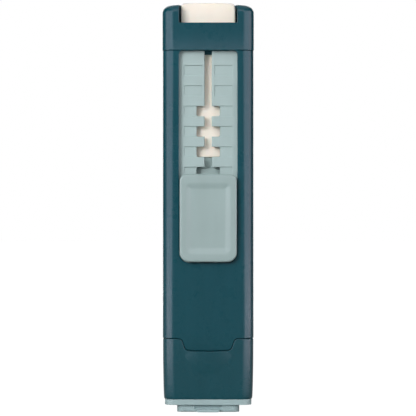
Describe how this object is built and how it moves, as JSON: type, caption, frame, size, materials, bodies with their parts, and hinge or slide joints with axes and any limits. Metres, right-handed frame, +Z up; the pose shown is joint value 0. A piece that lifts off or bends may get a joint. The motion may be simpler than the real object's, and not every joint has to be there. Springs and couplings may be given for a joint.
{
  "type": "pencil eraser stick",
  "caption": "Flat upright stick with a block eraser fed by a locking thumb pad over a notched rail, and a pencil sharpener in a pull-off bottom cap.",
  "frame": {"origin": "on the axis of the pencil entry, in the plane that the stick stands on", "axes": "+Z runs up the stick to the eraser, -Y is the front with the thumb pad, +X is to the right when seen from the front"},
  "size_m": [0.023, 0.015, 0.1029],
  "materials": {
    "dark_casing": "satin moulded",
    "pale_plastic": "satin moulded",
    "eraser": "matt, slightly waxy",
    "spring_steel": "bright",
    "blade_steel": "ground"
  },
  "bodies": {
    "sharpener": {"sharpener_body": "pale_plastic", "sharpener_blade": "blade_steel", "blade_screw": "blade_steel"},
    "cap": {"bottom_cap": "dark_casing"},
    "casing": {"main_casing": "dark_casing", "nose_cap": "dark_casing", "guide_rail": "pale_plastic"},
    "carriage": {"eraser_carrier": "pale_plastic", "eraser": "eraser", "latch_spring": "spring_steel"},
    "button": {"thumb_pad": "pale_plastic", "latch_plate": "pale_plastic"}
  },
  "joints": [
    {"name": "sharpener_pull", "type": "slide", "parent": "sharpener", "child": "cap", "axis": [0, 0, 1], "range_m": [0, 0.024]},
    {"name": "cap_pull", "type": "slide", "parent": "cap", "child": "casing", "axis": [0, 0, 1], "range_m": [0, 0.02]},
    {"name": "carriage_slide", "type": "slide", "parent": "casing", "child": "carriage", "axis": [0, 0, 1], "range_m": [0, 0.0306]},
    {"name": "pad_press", "type": "slide", "parent": "carriage", "child": "button", "axis": [0, 1, 0], "range_m": [0, 0.0011], "stiffness_N_per_m": 300, "springref_m": -0.001, "deforming": ["latch_spring"]}
  ]
}
